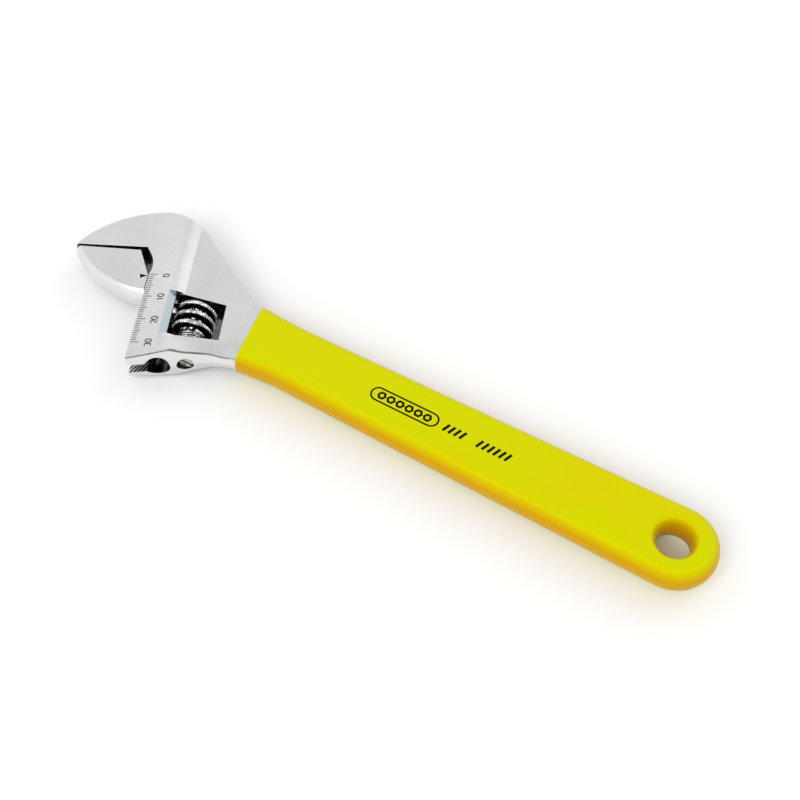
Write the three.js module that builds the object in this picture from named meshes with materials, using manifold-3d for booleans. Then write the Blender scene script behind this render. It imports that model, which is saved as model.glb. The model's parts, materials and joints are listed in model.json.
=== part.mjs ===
// Adjustable wrench of the 250 mm class, with a dipped vinyl grip. Millimetres, +Z up.
// The wrench lies flat: +X runs along the handle from the head to its round end, and the
// origin is under the middle of the whole wrench. The handle frame has its origin in the
// middle of the hanging hole. The head is turned by headAngle, so its pieces are drawn in
// a head frame: its +x points towards the handle, across the movable jaw's travel, its +y
// points from the movable jaw to the fixed jaw, and its origin is where the head's front
// edge starts, at the scale's zero.
import * as THREE from 'three';
import { mergeVertices } from 'three/addons/utils/BufferGeometryUtils.js';
import Module from 'manifold-3d';

const degrees = THREE.MathUtils.degToRad;
const mix = THREE.MathUtils.lerp;

// The handle and its grip
const holeToHead = 199.75;         // hanging hole to the head frame's origin, along the handle
const headRise = 2.2;              // that origin above the handle's centre line
const headAngle = degrees(25.4);
const bareShank = 44.55;           // head frame's origin to the middle of the grip's mouth
const gripLength = holeToHead - bareShank;
const gripEndRadius = 13.6;        // half width at the round end
const gripEndAt = 0.5;             // middle of the round end beyond the hanging hole
const gripWaist = 11.5;            // half width where the grip is narrowest
const gripWaistBack = 17.2;        // distance of that waist from the mouth
const gripMouth = 12.6;            // half width at the mouth, a little flared
const gripMouthDrop = 0.3;         // the mouth's middle below the handle's centre line
const gripMouthSlant = degrees(11.5);
const gripThickness = 10.8;
const gripEdge = 3.9;              // how far the rounded edge reaches in from the outline
const gripLand = 0.6;              // straight part of the edge between its two rounds
const gripWall = 1;                // vinyl at the edges
const gripSkin = 1.3;              // vinyl on the flat sides
const hangingHoleRadius = 5.3;

// The head forging, in the head frame
const jawReach = 30.2;             // tip of the fixed jaw in front of the front edge
const faceHeight = 12.9;           // fixed jaw's face above zero
const faceRoot = 3.3;              // where the face ends, in front of the front edge
const throatDrop = 3.7;            // relief between the face and the front edge, below the face
const throatDepth = 1;
const throatBulge = 1.5;
const crownHeight = 31;            // highest point of the fixed jaw's back
const crownAt = 1;
const shoulder = new THREE.Vector2(19.1, 19.9);    // the back edge is straight from here
const neck = new THREE.Vector2(31, 3.2);           // to here, then bends to the handle
const lugDrop = 37.8;              // front corner of the lug below zero
const heelDrop = 34.1;             // lower edge of the lug, at the worm's axis
const webDrop = 32.2;              // lower edge of the web that runs on to the handle
const webAt = 28;
const tipHalf = 4.4;               // half thicknesses, from the jaws' tips to the handle
const frontHalf = 5.2;
const crestHalf = 6.9;
const stepHalf = 5.4;              // at the foot of the step down to the shank
const ridgeHalf = 7.4;             // the ridge on the lug, in line with that foot
const neckHalf = 4.2;
const webEdgeHalf = 2.2;           // the web's lower edge, at the grip
const crestAt = 10.5;
const stepAt = 14.4;
const neckAt = 31;
const draft = degrees(14);         // the forging's edges lean in on both sides
const partingLand = 0.6;           // straight land at mid-thickness, between the drafts

// Channel and movable jaw
const clearance = 0.3;             // between neighbouring pieces
const channelAt = 9.8;             // middle of the round channel
const slideRadius = 4;
const slideBottom = 15.2;          // the slide's lower end below zero
const slideTopDrop = 2;            // its upper end below the movable jaw's face
const closingPlay = 1.5;           // channel left above the slide
const jawWeb = 3.4;                // thickness of the web between the jaw and its slide
const jawWebDrop = 7.5;            // lower end of that web below zero
const heelOpening = 1.5;           // the jaws stand this far apart at the heel
const movableFace = faceHeight - heelOpening;
const slideTop = movableFace - slideTopDrop;
const movableRise = degrees(1.5);  // that face rises towards the tip
const movableHeel = 5.4;           // where the face ends, in front of the front edge
const jawTipShort = 0.5;           // how much shorter the movable jaw is at its tip
const jawLip = 8.9;                // movable jaw's lower edge below zero, at the head
const jawBulge = 2.4;              // how far its round flank stands out at mid-thickness

// Worm, with the rack's teeth that fit its thread
const wormCrest = 7.45;
const wormRoot = 4.7;
const wormPitch = 4.1;
const tipPlay = 0.5;               // between the rack's teeth and the worm's core
const wormAt = channelAt + slideRadius + tipPlay + wormRoot;   // the axis of worm, pin, spring
const crestWidth = 0.27 * wormPitch;
const rootWidth = 0.56 * wormPitch;
const toothTip = 0.29 * wormPitch; // width of a rack tooth at its tip and at its foot
const toothFoot = 0.585 * wormPitch;

// Window round the worm
const windowLeft = wormAt - wormCrest - 0.15;
const windowRight = wormAt + wormCrest + 2.95;
const windowTop = 7.4;             // upper wall below zero, at the window's left wall
const windowTopFall = 3.2;         // and how much it falls to the right wall
const windowBottom = 25.7;
const windowBevel = 2.3;           // bevel along the window's left wall
const windowBevelFrom = 3;         // height above mid-thickness where the bevel starts
const wormTop = windowTop + windowTopFall + 0.1;   // ends of the thread below zero
const threadBottom = windowBottom - 3.1;
const firstRidge = wormTop + 1.5;  // ridge in line with the axis on the upper side

// Pin and spring
const pinRadius = 2.2;
const pinHeadRadius = 2.5;
const pinHeadSunk = 1.4;           // the pin's head inside the lug's end
const pinHeadLength = heelDrop - pinHeadSunk - windowBottom - 2 * clearance;
const pinTop = 2.5;                // the pin's far end above zero
const pinSlotWidth = 0.9;
const pinSlotDepth = 1.2;
const springWire = 0.8;
const springLength = 8;            // seated level with the window's upper left corner
const springTurns = 5;

const roundSides = 40;             // straight sides on a full round
const far = 60;                    // longer than anything the cutting solids have to pass

const wasm = await Module();
wasm.setup();

const mid = gripThickness / 2;
const handleFromHead = new THREE.Matrix4()
  .makeTranslation(-holeToHead, headRise, 0)
  .multiply(new THREE.Matrix4().makeRotationZ(headAngle));
const headFromHandle = handleFromHead.clone().invert();

// Solids and meshes

function solidOf(geometry) {
  geometry.deleteAttribute('normal');
  geometry.deleteAttribute('uv');
  const merged = mergeVertices(geometry, 1e-4);
  const vertProperties = new Float32Array(merged.attributes.position.array);
  const triVerts = new Uint32Array(merged.index.array);
  return new wasm.Manifold(new wasm.Mesh({ numProp: 3, vertProperties, triVerts }));
}

function meshOf(name, solid, material) {
  const { vertProperties, triVerts } = solid.getMesh();
  const geometry = new THREE.BufferGeometry();
  geometry.setAttribute('position', new THREE.BufferAttribute(vertProperties, 3));
  geometry.setIndex(new THREE.BufferAttribute(triVerts, 1));
  geometry.computeVertexNormals();
  const mesh = new THREE.Mesh(geometry, material);
  mesh.name = name;
  return mesh;
}

// A plan outline, made height mm tall about the middle of the thickness.
function slab(outline, height) {
  const geometry = new THREE.ExtrudeGeometry(outline, { depth: height, bevelEnabled: false });
  geometry.translate(0, 0, -height / 2);
  return solidOf(geometry);
}

// A plan outline that draws in by inset towards both faces of a plate half mm thick each
// way. One step draws in on a straight slope, and more steps make a quarter ellipse.
// shrink moves the whole outline in.
function taperedSlab(outline, half, land, inset, steps, shrink = 0) {
  const geometry = new THREE.ExtrudeGeometry(outline, {
    depth: land,
    bevelThickness: half - land / 2,
    bevelSize: inset,
    bevelOffset: -inset - shrink,
    bevelSegments: steps,
    curveSegments: roundSides / 2,
  });
  geometry.translate(0, 0, -land / 2);
  return solidOf(geometry);
}

// A round bar along the head frame's y, from low to high, with its axis at x.
function barAlongY(x, radius, low, high) {
  const geometry = new THREE.CylinderGeometry(radius, radius, high - low, roundSides);
  geometry.translate(x, (low + high) / 2, 0);
  return solidOf(geometry);
}

function polygon(...points) {
  return new THREE.Shape(points.map(([x, y]) => new THREE.Vector2(x, y)));
}

// The handle and its grip, in the handle frame

function gripOutline() {
  const mouthAt = -gripLength;
  const waistAt = mouthAt + gripWaistBack;
  const outline = new THREE.Shape();
  outline.moveTo(mouthAt - far / 2, -gripMouth - gripMouthDrop);
  outline.lineTo(mouthAt, -gripMouth - gripMouthDrop);
  outline.quadraticCurveTo(mix(mouthAt, waistAt, 0.4), -gripWaist, waistAt, -gripWaist);
  outline.lineTo(gripEndAt, -gripEndRadius);
  outline.absarc(gripEndAt, 0, gripEndRadius, -Math.PI / 2, Math.PI / 2, false);
  outline.lineTo(waistAt, gripWaist);
  outline.quadraticCurveTo(mix(mouthAt, waistAt, 0.4), gripWaist, mouthAt, gripMouth - gripMouthDrop);
  outline.lineTo(mouthAt - far / 2, gripMouth - gripMouthDrop);
  const hole = new THREE.Path();
  hole.absarc(0, 0, hangingHoleRadius, 0, 2 * Math.PI, true);
  outline.holes.push(hole);
  return outline;
}

// The grip's form, moved in by wall at its edges and by skin on its flat sides. The
// rounded edge takes at most half of the ring round the hanging hole.
function gripForm(wall, skin) {
  const edge = Math.min(gripEdge, 0.47 * (gripEndRadius - hangingHoleRadius));
  return taperedSlab(gripOutline(), mid - skin, gripLand, edge - wall, 5, wall);
}

// Everything on the handle's side of the mouth, moved back towards the head by reach.
function behindMouth(reach) {
  const geometry = new THREE.BoxGeometry(4 * far, 2 * far, far);
  geometry.translate(2 * far, 0, 0);
  geometry.rotateZ(gripMouthSlant);
  geometry.translate(-gripLength - reach, -gripMouthDrop, 0);
  return solidOf(geometry);
}

function gripSleeve() {
  const outside = gripForm(0, 0).intersect(behindMouth(0));
  return outside.subtract(gripForm(gripWall, gripSkin));
}

// The head forging, in the head frame

// Where the handle's steel meets the grip's mouth: +1 is its upper edge, -1 its lower one.
function mouthCorner(side) {
  const y = side * (gripMouth - gripWall - clearance) - gripMouthDrop;
  const x = -gripLength - (y + gripMouthDrop) * Math.tan(gripMouthSlant);
  return new THREE.Vector3(x, y, 0).applyMatrix4(headFromHandle);
}

function headOutline() {
  const upper = mouthCorner(1);
  const lower = mouthCorner(-1);
  const along = new THREE.Vector2(Math.cos(headAngle), -Math.sin(headAngle)).multiplyScalar(far / 4);
  const backEdge = new THREE.Vector2().subVectors(neck, shoulder);
  const endSlope = (lugDrop - heelDrop) / wormAt;
  const past = 6;
  const outline = new THREE.Shape();
  outline.moveTo(-jawReach - past / 3, faceHeight - past);
  outline.lineTo(-jawReach, faceHeight);
  outline.bezierCurveTo(
    -0.84 * jawReach, mix(faceHeight, crownHeight, 0.54),
    -0.39 * jawReach, crownHeight,
    crownAt, crownHeight,
  );
  outline.bezierCurveTo(
    crownAt + 0.31 * (shoulder.x - crownAt), crownHeight,
    shoulder.x - 0.38 * backEdge.x, shoulder.y - 0.38 * backEdge.y,
    shoulder.x, shoulder.y,
  );
  outline.lineTo(neck.x, neck.y);
  outline.quadraticCurveTo(neck.x + 0.6 * backEdge.x, neck.y + 0.6 * backEdge.y, upper.x, upper.y);
  outline.lineTo(upper.x + along.x, upper.y + along.y);
  outline.lineTo(lower.x + along.x, lower.y + along.y);
  outline.lineTo(lower.x, lower.y);
  outline.lineTo(webAt, -webDrop);
  outline.quadraticCurveTo(mix(wormAt, webAt, 0.7), -webDrop, wormAt, -heelDrop);
  outline.lineTo(-past, -lugDrop - past * endSlope);
  outline.lineTo(-past, faceHeight - past);
  return outline;
}

// Half thickness of the head above the window: wedge-shaped jaws that thicken to a
// crest, a step down from it, and a shank that thins towards the handle.
function upperHalf(x) {
  const run = [
    [-jawReach, tipHalf], [0, frontHalf], [crestAt, crestHalf], [stepAt, stepHalf], [neckAt, neckHalf],
  ];
  const next = run.findIndex(([at]) => x <= at);
  if (next === 0) return tipHalf;
  if (next < 0) return neckHalf;
  const [fromX, fromHalf] = run[next - 1];
  const [toX, toHalf] = run[next];
  return mix(fromHalf, toHalf, (x - fromX) / (toX - fromX));
}

// Half thickness at the lug's end: up to the ridge, then thinner along the web's edge.
function lowerHalf(x) {
  if (x <= 0) return upperHalf(x);
  if (x <= stepAt) return mix(frontHalf, ridgeHalf, x / stepAt);
  const run = Math.min(1, (x - stepAt) / (mouthCorner(-1).x - stepAt));
  return webEdgeHalf + (ridgeHalf - webEdgeHalf) * (1 - run) ** 1.6;
}

function halfThickness(x, y) {
  return mix(upperHalf(x), lowerHalf(x), THREE.MathUtils.smoothstep(-y, windowBottom, heelDrop));
}

function thicknessSlab() {
  const xs = [-far, -jawReach, 0, crestAt, stepAt, 18, 22, 26, neckAt, 36, 2 * far];
  const ys = [-far, -heelDrop, mix(-heelDrop, -windowBottom, 0.33), mix(-heelDrop, -windowBottom, 0.67),
    -windowBottom, far];
  const geometry = new THREE.BoxGeometry(1, 1, 2, xs.length - 1, ys.length - 1, 1);
  const position = geometry.attributes.position;
  for (let i = 0; i < position.count; i += 1) {
    const x = xs[Math.round((position.getX(i) + 0.5) * (xs.length - 1))];
    const y = ys[Math.round((position.getY(i) + 0.5) * (ys.length - 1))];
    position.setXYZ(i, x, y, position.getZ(i) * halfThickness(x, y));
  }
  return solidOf(geometry);
}

// Open air in front of the head: below the fixed jaw's face, the throat and the front edge.
function jawOpening() {
  const throatTop = faceHeight - throatDrop;
  const outline = new THREE.Shape();
  outline.moveTo(-far, faceHeight);
  outline.lineTo(-far, -far);
  outline.lineTo(0, -far);
  outline.lineTo(0, 0);
  outline.quadraticCurveTo(throatBulge, throatTop / 2, -throatDepth, throatTop);
  outline.lineTo(-faceRoot, faceHeight);
  return slab(outline, far);
}

function windowCut() {
  const outline = polygon(
    [windowLeft, -windowTop],
    [windowLeft, -windowBottom],
    [windowRight, -windowBottom],
    [windowRight, -windowTop - windowTopFall],
  );
  return slab(outline, far);
}

// The bevel that widens the window's left wall towards a face: +1 above, -1 below.
function windowBevelCut(face) {
  const outline = polygon(
    [windowLeft, face * windowBevelFrom],
    [windowLeft - windowBevel, face * ridgeHalf],
    [windowLeft + windowBevel, face * ridgeHalf],
  );
  const geometry = new THREE.ExtrudeGeometry(outline, {
    depth: windowBottom - windowTop,
    bevelEnabled: false,
  });
  geometry.rotateX(Math.PI / 2);
  geometry.translate(0, -windowTop, 0);
  return solidOf(geometry);
}

function channelCut() {
  const top = slideTop + closingPlay + clearance;
  const round = barAlongY(channelAt, slideRadius + clearance, -far, top);
  const slot = polygon([-far / 4, -far], [channelAt, -far], [channelAt, top], [-far / 4, top]);
  return round.add(slab(slot, jawWeb + 2 * clearance));
}

function pinCut() {
  const shaft = barAlongY(wormAt, pinRadius + clearance, -windowBottom, pinTop + clearance);
  const head = barAlongY(wormAt, pinHeadRadius + clearance, -far, -windowBottom + clearance);
  const seat = barAlongY(wormAt, springOuter() + clearance, -windowBottom, -windowTop);
  return shaft.add(head).add(seat);
}

function bodyForging() {
  const plate = taperedSlab(headOutline(), ridgeHalf, partingLand, ridgeHalf * Math.tan(draft), 1);
  const behind = behindMouth(clearance).transform(headFromHandle.elements);
  const head = plate.intersect(thicknessSlab()).subtract(jawOpening()).subtract(behind);
  const tang = gripForm(gripWall + clearance, gripSkin + clearance).intersect(behindMouth(far / 8));
  return head
    .add(tang.transform(headFromHandle.elements))
    .subtract(windowCut())
    .subtract(windowBevelCut(1))
    .subtract(windowBevelCut(-1))
    .subtract(channelCut())
    .subtract(pinCut());
}

// The movable jaw with its web, slide and rack, in the head frame

function jawOutline() {
  const past = 8;
  const outline = new THREE.Shape();
  const reach = jawReach - jawTipShort;
  outline.moveTo(-reach - past / 4, movableFace + past);
  outline.lineTo(-reach, movableFace);
  outline.bezierCurveTo(-0.8 * reach, 0.2, -0.36 * reach, -0.9 * jawLip, 0, -jawLip);
  outline.lineTo(past, -jawLip);
  outline.lineTo(past, movableFace + past);
  return outline;
}

// Each groove leaves room for the thread and leans with it where the two meet.
function rackGroove(y) {
  const foot = wormAt - wormCrest - clearance;
  const spread = (toothFoot - toothTip) / 2 / (wormCrest - wormRoot);
  const depth = channelAt + slideRadius + clearance - foot;
  const low = (wormPitch - toothFoot) / 2;
  const high = low + depth * spread;
  const outline = polygon([foot, -low], [foot + depth, -high], [foot + depth, high], [foot, low]);
  const geometry = new THREE.ExtrudeGeometry(outline, { depth: far / 2, bevelEnabled: false });
  geometry.translate(0, 0, -far / 4);
  geometry.rotateX(Math.atan(wormPitch / (Math.PI * (wormCrest + wormRoot))));
  geometry.translate(0, y, 0);
  return solidOf(geometry);
}

function movableJaw() {
  const region = polygon(
    [-far, -far],
    [-clearance, -far],
    [-clearance, 0],
    [-movableHeel, movableFace],
    [-far, movableFace + (far - movableHeel) * Math.tan(movableRise)],
  );
  const web = polygon(
    [-movableHeel, -jawWebDrop],
    [channelAt, -jawWebDrop],
    [channelAt, slideTop],
    [0, slideTop],
    [-0.6 * movableHeel, 0.6 * movableFace],
    [-movableHeel, 0.6 * movableFace],
  );
  const flank = taperedSlab(jawOutline(), frontHalf, partingLand, jawBulge, 4);
  const jaw = flank.intersect(thicknessSlab()).intersect(slab(region, far));
  let slide = barAlongY(channelAt, slideRadius, -slideBottom, slideTop);
  const firstGroove = -firstRidge + wormPitch / 4;
  const grooves = Math.ceil((slideTop + slideBottom) / wormPitch) + 1;
  for (let i = 0; i < grooves; i += 1) {
    slide = slide.subtract(rackGroove(firstGroove + (i - 1) * wormPitch));
  }
  return jaw.add(slab(web, jawWeb)).add(slide);
}

// Worm, pin and spring, in the head frame

// A left-hand helix about the worm's axis that climbs from low to high and passes the
// upper side at height level. Its frames stay square to the axis, so a section drawn as
// (outwards, along the axis) keeps its shape.
class Helix extends THREE.Curve {
  constructor(radius, pitch, low, high, level) {
    super();
    Object.assign(this, { radius, pitch, low, high, level });
  }

  angleAt(t) {
    return (-2 * Math.PI * (mix(this.low, this.high, t) - this.level)) / this.pitch;
  }

  getPoint(t, target = new THREE.Vector3()) {
    const angle = this.angleAt(t);
    const y = mix(this.low, this.high, t);
    return target.set(wormAt + this.radius * Math.sin(angle), y, this.radius * Math.cos(angle));
  }

  computeFrenetFrames(segments) {
    const frames = { tangents: [], normals: [], binormals: [] };
    for (let i = 0; i <= segments; i += 1) {
      const angle = this.angleAt(i / segments);
      const outwards = new THREE.Vector3(Math.sin(angle), 0, Math.cos(angle));
      const axis = new THREE.Vector3(0, 1, 0);
      frames.normals.push(outwards);
      frames.binormals.push(axis);
      frames.tangents.push(new THREE.Vector3().crossVectors(outwards, axis));
    }
    return frames;
  }
}

function alongHelix(section, helix, sides) {
  const turns = (helix.high - helix.low) / helix.pitch;
  const steps = Math.ceil(turns * sides);
  return solidOf(new THREE.ExtrudeGeometry(section, { steps, extrudePath: helix }));
}

function worm() {
  const bottom = windowBottom - clearance;
  const bury = 0.5;
  const slope = (rootWidth - crestWidth) / 2 / (wormCrest - wormRoot);
  const foot = rootWidth / 2 + bury * slope;
  const section = polygon(
    [-bury, -foot],
    [wormCrest - wormRoot, -crestWidth / 2],
    [wormCrest - wormRoot, crestWidth / 2],
    [-bury, foot],
  );
  const low = -threadBottom - wormPitch;
  const high = -wormTop + wormPitch;
  const helix = new Helix(wormRoot, wormPitch, low, high, -firstRidge);
  const thread = alongHelix(section, helix, roundSides)
    .intersect(barAlongY(wormAt, 2 * wormCrest, -threadBottom, -wormTop));
  return thread
    .add(barAlongY(wormAt, wormRoot, -bottom, -wormTop))
    .subtract(barAlongY(wormAt, pinRadius + clearance, -far, far))
    .subtract(barAlongY(wormAt, springOuter() + clearance, -windowTop - springLength - 2 * clearance, far));
}

function pinHeadEnd() {
  return -heelDrop + pinHeadSunk;
}

function wormPin() {
  const end = pinHeadEnd();
  const slot = new THREE.BoxGeometry(2 * far, 2 * pinSlotDepth, pinSlotWidth);
  slot.rotateY(degrees(35));
  slot.translate(wormAt, end, 0);
  return barAlongY(wormAt, pinHeadRadius, end, end + pinHeadLength)
    .add(barAlongY(wormAt, pinRadius, end + pinHeadLength / 2, pinTop))
    .subtract(solidOf(slot));
}

function springOuter() {
  return pinRadius + 2 * clearance + springWire;
}

function wormSpring() {
  const radius = springOuter() - springWire / 2;
  const low = -windowTop - clearance - springLength + springWire / 2;
  const high = -windowTop - clearance - springWire / 2;
  const section = new THREE.Shape();
  section.absarc(0, 0, springWire / 2, 0, 2 * Math.PI, false);
  const helix = new Helix(radius, (high - low) / springTurns, low, high, low);
  return alongHelix(polygon(...section.getPoints(4).slice(0, -1).map((p) => [p.x, p.y])), helix, 20);
}

// The wrench

const chrome = new THREE.MeshStandardMaterial({ color: 0xcfd1d0, roughness: 0.32, metalness: 1 });
const polished = new THREE.MeshStandardMaterial({ color: 0xb9bcbe, roughness: 0.12, metalness: 1 });
const steel = new THREE.MeshStandardMaterial({ color: 0x8d8f8c, roughness: 0.4, metalness: 1 });
const vinyl = new THREE.MeshStandardMaterial({ color: 0xdbd800, roughness: 0.35, metalness: 0 });

const head = new THREE.Group();
head.add(meshOf('body_forging', bodyForging(), chrome));
head.add(meshOf('movable_jaw', movableJaw(), chrome));
head.add(meshOf('worm', worm(), polished));
head.add(meshOf('worm_pin', wormPin(), steel));
head.add(meshOf('worm_spring', wormSpring(), steel));
head.rotation.z = headAngle;
head.position.set(-holeToHead, headRise, 0);

const wrench = new THREE.Group();
wrench.add(head);
wrench.add(meshOf('grip_sleeve', gripSleeve(), vinyl));

// The finished group stands on z = 0 with the origin under the middle of its box.
const part = new THREE.Group();
part.add(wrench);
part.updateMatrixWorld(true);
const bounds = new THREE.Box3().setFromObject(wrench, true);
wrench.position.set(
  -(bounds.min.x + bounds.max.x) / 2,
  -(bounds.min.y + bounds.max.y) / 2,
  -bounds.min.z,
);

export default part;
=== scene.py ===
"""Adjustable wrench with a dipped vinyl grip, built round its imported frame.

Shapes are worked out in millimetres and put in place in metres. The handle's plan has
its origin in the hanging hole. The head's plan is turned with the head: its x points
across the movable jaw's travel towards the handle, its y from the movable jaw to the
fixed jaw, and its origin is the scale's zero on the head's front edge.
"""

import json
import math
from types import SimpleNamespace

import bmesh
import bpy
import numpy as np
from bpy.props import FloatProperty, FloatVectorProperty, PointerProperty
from bpy.types import Operator, Panel, PropertyGroup
from mathutils import Matrix, Vector
from mathutils.geometry import delaunay_2d_cdt


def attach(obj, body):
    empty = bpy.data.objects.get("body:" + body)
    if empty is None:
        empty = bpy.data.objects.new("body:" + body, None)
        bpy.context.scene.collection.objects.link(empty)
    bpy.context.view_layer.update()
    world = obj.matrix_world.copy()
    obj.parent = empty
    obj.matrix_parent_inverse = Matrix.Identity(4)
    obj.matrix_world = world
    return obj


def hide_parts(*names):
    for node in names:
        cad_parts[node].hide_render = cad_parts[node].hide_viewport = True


bl_info = {
    "name": "Adjustable Wrench",
    "version": (1, 0, 0),
    "blender": (4, 5, 0),
    "location": "3D View > Sidebar > Wrench",
    "description": "Builds an adjustable wrench with a vinyl grip round its packed frame",
    "category": "Add Mesh",
}

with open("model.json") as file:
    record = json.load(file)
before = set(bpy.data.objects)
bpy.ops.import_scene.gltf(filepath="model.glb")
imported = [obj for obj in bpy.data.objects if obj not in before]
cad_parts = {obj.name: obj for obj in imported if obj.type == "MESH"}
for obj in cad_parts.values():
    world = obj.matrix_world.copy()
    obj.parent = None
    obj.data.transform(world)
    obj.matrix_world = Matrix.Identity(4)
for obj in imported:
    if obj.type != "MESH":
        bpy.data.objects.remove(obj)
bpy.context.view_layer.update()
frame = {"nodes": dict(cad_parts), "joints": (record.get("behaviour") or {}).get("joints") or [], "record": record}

MM = 0.001

# Fixed measures, in millimetres. Stations are distances behind the head's front edge.
LAND = 0.3              # straight part of every forged edge, each side of mid-thickness
WORM_POINT_DROP = 18    # the worm joint's point below the scale's zero
JAW_TIP = -30.2         # station at which the thickness of the jaws is set
CREST = 10.5            # station of the head's thickest place
CRISP = 14.4            # station of the crisp line, where the step down ends
NECK = 31               # station from which the shank keeps its thickness
TIP_HALF = 4.4          # half thickness of the jaws at their tips
HEEL_OPENING = 1.5      # gap between the jaws at the movable jaw's heel, at rest
SLIDE_DROP = 2          # end of the slide below the movable jaw's face
SLIDE_PLAY = 1.5        # free channel past the slide's end, at rest
WEB_HALF = 1.7          # half thickness of the web between the jaw and its slide
THREAD_TOP = 3.3        # window's upper edge to the worm's end
THREAD_START = 1.5      # worm's end to the middle of the thread's first ridge
HUB = 3.1               # end of the thread to the window's lower edge, round the hub
SEAT_WALL = 1.7         # the spring seat's radius past the pin's
FLARE = 17.2            # length of the grip's flare
MOUTH_DROP = 0.3        # middle of the grip's mouth below the handle's middle line
WELL_PAST = 60          # below every edge of the lug
MOUTH_SLANT = math.radians(11.5)    # lean of the grip's mouth
BRUSHING = -math.radians(25)        # direction of the head's brushing
NEARLY_STRAIGHT = 0.15              # sine of a corner's turn that is moved in as if straight

JOINTS = {joint["name"]: joint for joint in frame["joints"]}
WORM_POINT = Vector(JOINTS["worm_spin"]["pos_m"])
OPENING = Vector(JOINTS["worm_spin"]["axis"])
HOLE_BOX = frame["record"]["physics"]["openings"][0]["box_m"]
HOLE = (Vector(HOLE_BOX[0]) + Vector(HOLE_BOX[1])) / 2

# Places of the forged body's finishes in its list of materials; the cut walls, the bevel and the rims carry
# painted shade, the right wall painted light
SATIN, SHADED_CUT, MILLED, SHADED_BEVEL, SHADED_RIM, GROUND, LIT_WALL, SHADED_BROW, THROAT = range(9)


# Sizes and colours

def length(name, description, millimetres):
    """A size property, in metres, from its value in millimetres."""
    return FloatProperty(name=name, description=description, default=millimetres * MM,
                         min=0, unit="LENGTH", subtype="DISTANCE")


def colour(name, description, value):
    """A colour property."""
    return FloatVectorProperty(name=name, description=description, default=value,
                               min=0, max=1, size=3, subtype="COLOR")


class WrenchSizes(PropertyGroup):
    """Sizes of the wrench."""
    bare_shank: length("Bare shank", "Scale's zero to the grip's mouth", 44.55)
    grip_end: length("Grip end", "Half width of the grip's round end", 13.6)
    grip_waist: length("Grip waist", "Half width of the grip where it is narrowest", 11.5)
    grip_mouth: length("Grip mouth", "Half width of the grip's mouth", 12.6)
    grip_thickness: length("Grip thickness", "Thickness of the grip", 10.8)
    grip_edge: length("Grip edge", "How far the grip's rounded edge reaches in", 3.9)
    grip_wall: length("Vinyl wall", "Thickness of the vinyl at the edges", 1.0)
    grip_skin: length("Vinyl skin", "Thickness of the vinyl on the flat sides", 1.3)
    hanging_hole: length("Hanging hole", "Radius of the hanging hole", 5.3)
    jaw_reach: length("Jaw reach", "Length of the fixed jaw in front of the head", 30.2)
    face_height: length("Face height", "Fixed jaw's face above the scale's zero", 12.9)
    crown_height: length("Crown height", "Fixed jaw's back above the scale's zero", 31.0)
    lug_drop: length("Lug drop", "Front corner of the lug below the scale's zero", 37.8)
    heel_drop: length("Heel drop", "Lug's end below zero, at the worm", 34.1)
    window_top: length("Window top", "Window's upper edge below the scale's zero", 7.4)
    window_bottom: length("Window bottom", "Window's lower edge below zero", 25.7)
    channel_at: length("Channel place", "Middle of the channel behind the front edge", 9.8)
    slide_radius: length("Slide radius", "Radius of the movable jaw's round slide", 4.0)
    jaw_bulge: length("Jaw bulge", "How far the movable jaw's flank stands out", 2.4)
    worm_at: length("Worm place", "Worm's axis behind the head's front edge", 19.0)
    worm_crest: length("Worm radius", "Radius of the worm over its ridges", 7.45)
    worm_root: length("Worm core", "Radius of the worm between its ridges", 4.7)
    worm_pitch: length("Worm pitch", "Travel of the jaw for one turn of the worm", 4.1)
    pin_radius: length("Pin radius", "Radius of the worm's pin", 2.2)
    clearance: length("Clearance", "Gap between neighbouring pieces", 0.3)
    tick: length("Scale tick", "Width of the scale's ticks", 0.26)


class WrenchColours(PropertyGroup):
    """Colours of the wrench's finishes."""
    chrome: colour("Satin chrome", "Head and jaws", (0.80, 0.81, 0.805))
    # A lighter copy of the chrome: painted highlight on the worm's crests and glints, also the hub's bright tone
    bright: colour("Bright chrome", "Crests of the worm", (0.86, 0.86, 0.84))
    # Near black painted shade: the worm's valleys, the walls of the cuts and the slot's dark stripes
    shade_black: colour("Dark valleys", "Worm's valleys and the cut walls", (0.012, 0.012, 0.013))
    vinyl: colour("Vinyl", "Flat sides of the grip", (0.615, 0.625, 0.0))
    # Painted shade on the grip's rounded edges
    vinyl_edge_shade: colour("Deep vinyl", "Rounded edges of the grip", (0.58, 0.31, 0.0))
    ink: colour("Ink", "Print on the grip", (0.006, 0.005, 0.002))
    etch: colour("Etching", "Scale and pointer on the head", (0.006, 0.006, 0.006))
    floor: colour("Floor", "Floor under the wrench", (0.93, 0.93, 0.93))


def sizes(context):
    """Every size of the scene's WrenchSizes, in millimetres."""
    group = context.scene.wrench_sizes
    names = WrenchSizes.__annotations__
    return SimpleNamespace(**{name: getattr(group, name) / MM for name in names})


# Places

def head_place():
    """Head's plan in millimetres to the row frame in metres, from the worm's joint."""
    up = -OPENING
    across = Vector((up.y, -up.x, 0))
    worm_at = bpy.context.scene.wrench_sizes.worm_at
    origin = WORM_POINT - across * worm_at + up * WORM_POINT_DROP * MM
    turn = Matrix((across, up, (0, 0, 1))).transposed().to_4x4()
    return Matrix.Translation(origin) @ turn @ Matrix.Scale(MM, 4)


def handle_place():
    """Handle's plan in millimetres to the row frame in metres, from the hanging hole."""
    return Matrix.Translation((HOLE.x, HOLE.y, WORM_POINT.z)) @ Matrix.Scale(MM, 4)


def handle_to_head(points):
    """Points of the handle's plan, given in the head's plan."""
    turn = np.array(head_place().inverted() @ handle_place())
    return points @ turn[:2, :2].T + turn[:2, 3]


# Lines in plan

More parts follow.
